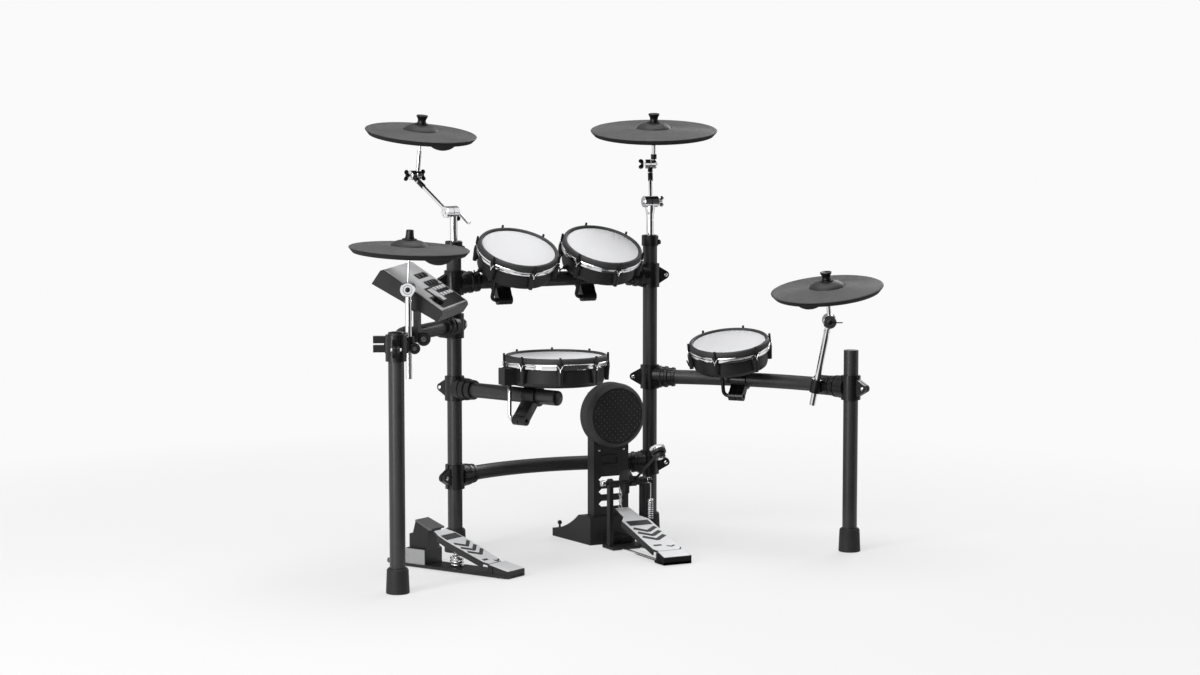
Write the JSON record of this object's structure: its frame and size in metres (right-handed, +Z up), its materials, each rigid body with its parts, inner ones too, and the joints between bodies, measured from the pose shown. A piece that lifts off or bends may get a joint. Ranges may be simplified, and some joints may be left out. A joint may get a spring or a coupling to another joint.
{
  "type": "electronic drum kit",
  "caption": "Electronic drum kit on a tube rack: mesh pads, rubber cymbal pads on tilting stands, sound module, kick tower with beater pedal, and hi-hat controller.",
  "frame": {"origin": "on the floor under the middle of the kit's box", "axes": "+Z up, +X to the drummer's right, the drummer sits on the -Y side"},
  "size_m": [1.5037, 0.8855, 1.1888],
  "materials": {
    "steel_tube": "satin",
    "clamp": "glossy moulded",
    "foot": "matt",
    "pad_shell": "satin moulded",
    "mesh": "woven mesh",
    "hoop": "polished with black rubber rim",
    "pad_mount": "black clamp with chromed rod",
    "chrome_rod": "polished",
    "cymbal": "grooved",
    "module_case": "matt",
    "module_panel": "satin",
    "keys": "matt",
    "dial": "knurled",
    "tower": "satin",
    "kick_pad": "matt",
    "pedal_frame": "satin",
    "footboard": "cast",
    "beater": "turned",
    "spring": "polished",
    "controller": "satin"
  },
  "bodies": {
    "rack": {"inner_posts": "steel_tube", "tom_bar": "steel_tube", "lower_bar": "steel_tube", "rack_clamps": "clamp", "rack_feet": "foot", "kick_tower": "tower", "kick_pad_shell": "kick_pad", "kick_pad_face": "kick_pad", "kick_pedal_frame": "pedal_frame", "hihat_base": "controller"},
    "left_wing": {"left_wing_bar": "steel_tube", "left_outer_post": "steel_tube", "left_wing_clamps": "clamp", "left_foot": "foot"},
    "right_wing": {"right_wing_bar": "steel_tube", "right_outer_post": "steel_tube", "right_wing_clamps": "clamp", "right_foot": "foot"},
    "snare_arm": {"snare_bar": "steel_tube", "snare_arm_clamp": "clamp"},
    "tom_left": {"tom_left_shell": "pad_shell", "tom_left_head": "mesh", "tom_left_hoop": "hoop", "tom_left_mount": "pad_mount"},
    "tom_right": {"tom_right_shell": "pad_shell", "tom_right_head": "mesh", "tom_right_hoop": "hoop", "tom_right_mount": "pad_mount"},
    "floor_tom": {"floor_tom_shell": "pad_shell", "floor_tom_head": "mesh", "floor_tom_hoop": "hoop", "floor_tom_mount": "pad_mount"},
    "snare": {"snare_shell": "pad_shell", "snare_head": "mesh", "snare_hoop": "hoop", "snare_mount": "pad_mount"},
    "crash_tube": {"crash_tube": "chrome_rod"},
    "crash_boom": {"crash_boom": "chrome_rod"},
    "crash_stem": {"crash_stem": "chrome_rod"},
    "crash_cymbal": {"crash_cymbal": "cymbal"},
    "ride_tube": {"ride_tube": "chrome_rod"},
    "ride_boom": {"ride_boom": "chrome_rod"},
    "ride_stem": {"ride_stem": "chrome_rod"},
    "ride_cymbal": {"ride_cymbal": "cymbal"},
    "hihat_tube": {"hihat_tube": "chrome_rod"},
    "hihat_stem": {"hihat_stem": "chrome_rod"},
    "hihat_cymbal": {"hihat_cymbal": "cymbal"},
    "side_tube": {"side_tube": "chrome_rod"},
    "side_stem": {"side_stem": "chrome_rod"},
    "side_cymbal": {"side_cymbal": "cymbal"},
    "module": {"module_case": "module_case", "module_panel": "module_panel"},
    "module_keys": {"module_keys": "keys"},
    "module_dial": {"module_dial": "dial"},
    "kick_footboard": {"kick_footboard": "footboard", "kick_chain": "spring"},
    "kick_beater": {"kick_beater": "beater", "kick_spring": "spring"},
    "hihat_footboard": {"hihat_footboard": "footboard", "hihat_spring": "spring"}
  },
  "joints": [
    {"name": "left_wing_swivel", "type": "hinge", "parent": "rack", "child": "left_wing", "pos_m": [-0.29078, 0.17852, 0.619], "axis": [0, 0, 1], "range_deg": [-20, 12]},
    {"name": "right_wing_swivel", "type": "hinge", "parent": "rack", "child": "right_wing", "pos_m": [0.31122, 0.17852, 0.45], "axis": [0, 0, 1], "range_deg": [-12, 20]},
    {"name": "snare_arm_swivel", "type": "hinge", "parent": "rack", "child": "snare_arm", "pos_m": [-0.29078, 0.17852, 0.449], "axis": [0, 0, 1], "range_deg": [-12, 12]},
    {"name": "tom_left_tilt", "type": "hinge", "parent": "rack", "child": "tom_left", "pos_m": [-0.15278, 0.17852, 0.736], "axis": [1, 0, 0], "range_deg": [-12, 12]},
    {"name": "tom_right_tilt", "type": "hinge", "parent": "rack", "child": "tom_right", "pos_m": [0.10322, 0.17852, 0.736], "axis": [1, 0, 0], "range_deg": [-12, 12]},
    {"name": "floor_tom_tilt", "type": "hinge", "parent": "right_wing", "child": "floor_tom", "pos_m": [0.50375, -0.00115, 0.45], "axis": [0.6305, -0.7762, 0], "range_deg": [-12, 12]},
    {"name": "snare_tilt", "type": "hinge", "parent": "snare_arm", "child": "snare", "pos_m": [-0.17884, -0.08141, 0.449], "axis": [0.3955, -0.9184, 0], "range_deg": [-12, 12]},
    {"name": "crash_tube_height", "type": "slide", "parent": "rack", "child": "crash_tube", "axis": [0, 0, 1], "range_m": [-0.05, 0.05]},
    {"name": "crash_boom_tilt", "type": "hinge", "parent": "crash_tube", "child": "crash_boom", "pos_m": [-0.3012, 0.17497, 0.928], "axis": [-0.9466, -0.3223, 0], "range_deg": [-12, 12]},
    {"name": "crash_stem_tilt", "type": "hinge", "parent": "crash_boom", "child": "crash_stem", "pos_m": [-0.34867, 0.30465, 1.023], "axis": [0.9909, 0.1346, 0], "range_deg": [-15, 15]},
    {"name": "crash_cymbal_rock", "type": "hinge", "parent": "crash_stem", "child": "crash_cymbal", "pos_m": [-0.33806, 0.28597, 1.14336], "axis": [0.9909, 0.1346, 0], "range_deg": [-5, 5], "stiffness_Nm_per_rad": 6},
    {"name": "ride_tube_height", "type": "slide", "parent": "rack", "child": "ride_tube", "axis": [0, 0, 1], "range_m": [-0.05, 0.05]},
    {"name": "ride_boom_tilt", "type": "hinge", "parent": "ride_tube", "child": "ride_boom", "pos_m": [0.3222, 0.17782, 0.942], "axis": [0.998, -0.0628, 0], "range_deg": [-12, 12]},
    {"name": "ride_stem_tilt", "type": "hinge", "parent": "ride_boom", "child": "ride_stem", "pos_m": [0.34418, 0.23534, 1.045], "axis": [0.8888, -0.4583, 0], "range_deg": [-15, 15]},
    {"name": "ride_cymbal_rock", "type": "hinge", "parent": "ride_stem", "child": "ride_cymbal", "pos_m": [0.34469, 0.21888, 1.14396], "axis": [0.8888, -0.4583, 0], "range_deg": [-5, 5], "stiffness_Nm_per_rad": 6},
    {"name": "hihat_tube_height", "type": "slide", "parent": "left_wing", "child": "hihat_tube", "axis": [0, 0, 1], "range_m": [-0.03, 0.04]},
    {"name": "hihat_stem_tilt", "type": "hinge", "parent": "hihat_tube", "child": "hihat_stem", "pos_m": [-0.60016, -0.229, 0.7586], "axis": [-0.4554, -0.8892, -0.0448], "range_deg": [-15, 15]},
    {"name": "hihat_cymbal_rock", "type": "hinge", "parent": "hihat_stem", "child": "hihat_cymbal", "pos_m": [-0.60199, -0.24359, 0.86597], "axis": [-0.4554, -0.8892, -0.0448], "range_deg": [-5, 5], "stiffness_Nm_per_rad": 6},
    {"name": "side_tube_height", "type": "slide", "parent": "right_wing", "child": "side_tube", "axis": [0.0848, -0.2083, 0.9744], "range_m": [-0.03, 0.02]},
    {"name": "side_stem_tilt", "type": "hinge", "parent": "side_tube", "child": "side_stem", "pos_m": [0.61702, -0.28047, 0.63087], "axis": [-0.4353, -0.888, -0.1485], "range_deg": [-15, 15]},
    {"name": "side_cymbal_rock", "type": "hinge", "parent": "side_stem", "child": "side_cymbal", "pos_m": [0.59793, -0.29681, 0.72396], "axis": [-0.4353, -0.888, -0.1485], "range_deg": [-5, 5], "stiffness_Nm_per_rad": 6},
    {"name": "module_tilt", "type": "hinge", "parent": "left_wing", "child": "module", "pos_m": [-0.50236, -0.05945, 0.697], "axis": [0.6012, 0.7991, 0], "range_deg": [-10, 12]},
    {"name": "module_keys_press", "type": "slide", "parent": "module", "child": "module_keys", "axis": [-0.4468, 0.3362, -0.829], "range_m": [0, 0.001], "stiffness_N_per_m": 900},
    {"name": "module_dial_turn", "type": "hinge", "parent": "module", "child": "module_dial", "pos_m": [-0.49926, -0.18191, 0.71683], "axis": [0.4468, -0.3362, 0.829], "range_deg": [-150, 150]},
    {"name": "kick_footboard_press", "type": "hinge", "parent": "rack", "child": "kick_footboard", "pos_m": [0.14822, -0.24749, 0.024], "axis": [-1, 0, 0], "range_deg": [0, 7], "deforming": ["kick_chain"]},
    {"name": "kick_beater_swing", "type": "hinge", "parent": "rack", "child": "kick_beater", "pos_m": [0.14822, 0.01052, 0.184], "axis": [-1, 0, 0], "range_deg": [0, 64.18], "stiffness_Nm_per_rad": 1.2, "springref_deg": -51.57, "deforming": ["kick_spring"]},
    {"name": "hihat_footboard_press", "type": "hinge", "parent": "rack", "child": "hihat_footboard", "pos_m": [-0.33893, -0.1995, 0.024], "axis": [-0.8854, -0.4648, 0], "range_deg": [0, 7], "stiffness_Nm_per_rad": 6, "springref_deg": -20.05, "deforming": ["hihat_spring"]}
  ],
  "couplings": [
    {"joint": "kick_beater_swing", "follows": "kick_footboard_press", "ratio": 9.1687}
  ]
}
